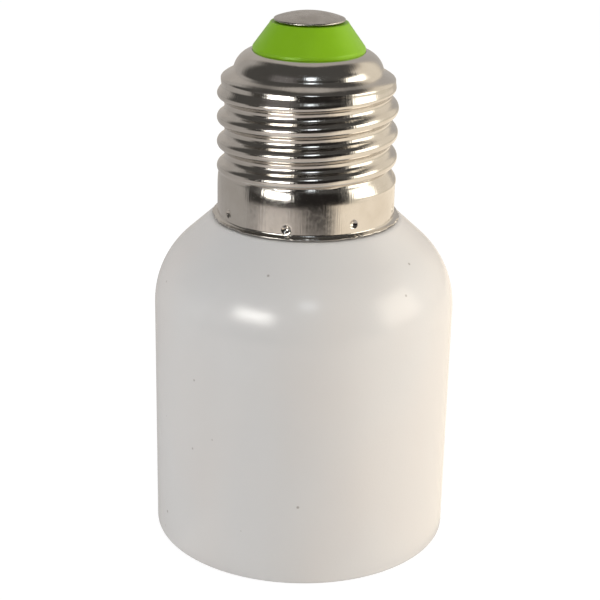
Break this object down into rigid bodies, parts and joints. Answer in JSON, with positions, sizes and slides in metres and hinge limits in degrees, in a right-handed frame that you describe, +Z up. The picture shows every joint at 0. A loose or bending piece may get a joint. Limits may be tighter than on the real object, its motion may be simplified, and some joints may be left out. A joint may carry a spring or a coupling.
{
  "type": "lamp socket adapter",
  "caption": "Free-standing adapter that screws into an E27 lamp holder and takes an E40 lamp: white body, nickel screw cap, green insulator, open socket.",
  "frame": {"origin": "centre of the open rim, in the plane that the adapter stands on", "axes": "+Z runs up the screw axis from the open socket to the cap's contact; -Y faces the viewer of the picture"},
  "size_m": [0.045, 0.045, 0.0799],
  "materials": {
    "white_plastic": "satin moulded white plastic",
    "nickel_shell": "bright nickel-plated rolled sheet",
    "green_plastic": "satin yellow-green moulded insulator",
    "contact_metal": "nickel-plated contact",
    "socket_metal": "nickel-plated rolled sheet",
    "seat_ceramic": "unglazed off-white steatite",
    "spring_bronze": "phosphor bronze strip",
    "rivet_brass": "plain brass",
    "screw_steel": "zinc-plated steel",
    "bare_copper": "stripped copper core",
    "live_sleeve": "brown sleeve",
    "neutral_sleeve": "blue sleeve"
  },
  "bodies": {
    "adapter": {"housing": "white_plastic", "cap_shell": "nickel_shell", "tip_insulator": "green_plastic", "tip_contact": "contact_metal", "socket_seat": "seat_ceramic", "socket_shell": "socket_metal", "contact_leaf": "spring_bronze", "shell_rivet_1": "rivet_brass", "shell_rivet_2": "rivet_brass", "leaf_rivet_1": "rivet_brass", "leaf_rivet_2": "rivet_brass", "seat_screw_1": "screw_steel", "seat_screw_2": "screw_steel", "neutral_tag": "rivet_brass", "live_tag": "rivet_brass", "live_lead_core": "bare_copper", "live_lead_sleeve": "live_sleeve", "neutral_lead_core": "bare_copper", "neutral_lead_sleeve": "neutral_sleeve"},
    "contact": {"contact_stud": "rivet_brass"}
  },
  "joints": [
    {"name": "contact_press", "type": "slide", "parent": "adapter", "child": "contact", "axis": [0, 0, 1], "range_m": [0, 0.002], "stiffness_N_per_m": 4000, "deforming": ["contact_leaf"]}
  ]
}
